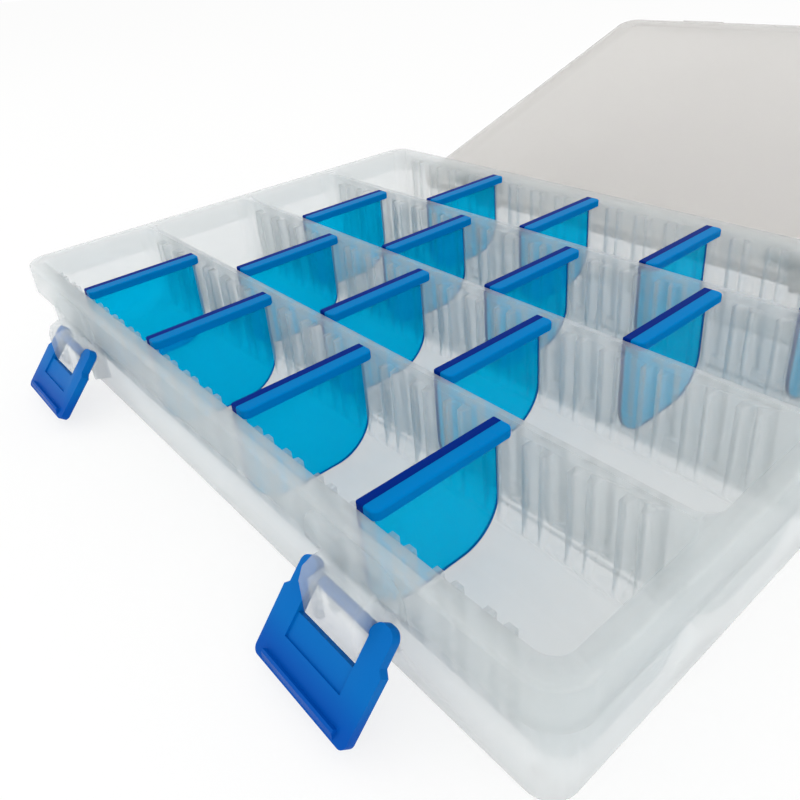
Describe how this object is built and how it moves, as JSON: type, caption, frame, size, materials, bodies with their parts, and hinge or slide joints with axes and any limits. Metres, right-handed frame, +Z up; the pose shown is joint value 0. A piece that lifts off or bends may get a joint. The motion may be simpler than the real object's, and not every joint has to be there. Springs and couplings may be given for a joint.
{
  "type": "bead organizer box",
  "caption": "Shallow clear organizer box with rows of rounded troughs, lift-out blue dividers, a hinged lid and two blue latches.",
  "frame": {"origin": "middle of the tray's underside", "axes": "+Z up, +X along the long side with the latches, +Y from the latches to the lid hinge"},
  "size_m": [0.267, 0.4149, 0.0766],
  "materials": {
    "clear_polypropylene": "milky translucent",
    "blue_panel": "translucent gloss",
    "blue_latch": "gloss",
    "pin_plastic": "satin"
  },
  "bodies": {
    "tray": {"tray": "clear_polypropylene", "hinge_pin_left": "pin_plastic", "hinge_pin_right": "pin_plastic"},
    "lid": {"lid": "clear_polypropylene"},
    "latch_left": {"latch_left": "blue_latch"},
    "latch_right": {"latch_right": "blue_latch"},
    "divider_a1": {"divider_a1": "blue_panel"},
    "divider_a2": {"divider_a2": "blue_panel"},
    "divider_a3": {"divider_a3": "blue_panel"},
    "divider_a4": {"divider_a4": "blue_panel"},
    "divider_b1": {"divider_b1": "blue_panel"},
    "divider_b2": {"divider_b2": "blue_panel"},
    "divider_b3": {"divider_b3": "blue_panel"},
    "divider_c1": {"divider_c1": "blue_panel"},
    "divider_c2": {"divider_c2": "blue_panel"},
    "divider_c3": {"divider_c3": "blue_panel"},
    "divider_c4": {"divider_c4": "blue_panel"},
    "divider_d1": {"divider_d1": "blue_panel"},
    "divider_d2": {"divider_d2": "blue_panel"},
    "divider_d3": {"divider_d3": "blue_panel"},
    "divider_d4": {"divider_d4": "blue_panel"}
  },
  "joints": [
    {"name": "lid_hinge", "type": "hinge", "parent": "tray", "child": "lid", "pos_m": [0, 0.1022, 0.027], "axis": [1, 0, 0], "range_deg": [0, 162.6]},
    {"name": "latch_left_pivot", "type": "hinge", "parent": "tray", "child": "latch_left", "pos_m": [-0.08, -0.101, 0.0206], "axis": [-1, 0, 0], "range_deg": [0, 139]},
    {"name": "latch_right_pivot", "type": "hinge", "parent": "tray", "child": "latch_right", "pos_m": [0.08, -0.101, 0.0206], "axis": [-1, 0, 0], "range_deg": [0, 139]},
    {"name": "divider_a1_lift", "type": "slide", "parent": "tray", "child": "divider_a1", "axis": [0, 0, 1], "range_m": [0, 0.042]},
    {"name": "divider_a2_lift", "type": "slide", "parent": "tray", "child": "divider_a2", "axis": [0, 0, 1], "range_m": [0, 0.042]},
    {"name": "divider_a3_lift", "type": "slide", "parent": "tray", "child": "divider_a3", "axis": [0, 0, 1], "range_m": [0, 0.042]},
    {"name": "divider_a4_lift", "type": "slide", "parent": "tray", "child": "divider_a4", "axis": [0, 0, 1], "range_m": [0, 0.042]},
    {"name": "divider_b1_lift", "type": "slide", "parent": "tray", "child": "divider_b1", "axis": [0, 0, 1], "range_m": [0, 0.042]},
    {"name": "divider_b2_lift", "type": "slide", "parent": "tray", "child": "divider_b2", "axis": [0, 0, 1], "range_m": [0, 0.042]},
    {"name": "divider_b3_lift", "type": "slide", "parent": "tray", "child": "divider_b3", "axis": [0, 0, 1], "range_m": [0, 0.042]},
    {"name": "divider_c1_lift", "type": "slide", "parent": "tray", "child": "divider_c1", "axis": [0, 0, 1], "range_m": [0, 0.042]},
    {"name": "divider_c2_lift", "type": "slide", "parent": "tray", "child": "divider_c2", "axis": [0, 0, 1], "range_m": [0, 0.042]},
    {"name": "divider_c3_lift", "type": "slide", "parent": "tray", "child": "divider_c3", "axis": [0, 0, 1], "range_m": [0, 0.042]},
    {"name": "divider_c4_lift", "type": "slide", "parent": "tray", "child": "divider_c4", "axis": [0, 0, 1], "range_m": [0, 0.042]},
    {"name": "divider_d1_lift", "type": "slide", "parent": "tray", "child": "divider_d1", "axis": [0, 0, 1], "range_m": [0, 0.042]},
    {"name": "divider_d2_lift", "type": "slide", "parent": "tray", "child": "divider_d2", "axis": [0, 0, 1], "range_m": [0, 0.042]},
    {"name": "divider_d3_lift", "type": "slide", "parent": "tray", "child": "divider_d3", "axis": [0, 0, 1], "range_m": [0, 0.042]},
    {"name": "divider_d4_lift", "type": "slide", "parent": "tray", "child": "divider_d4", "axis": [0, 0, 1], "range_m": [0, 0.042]}
  ]
}
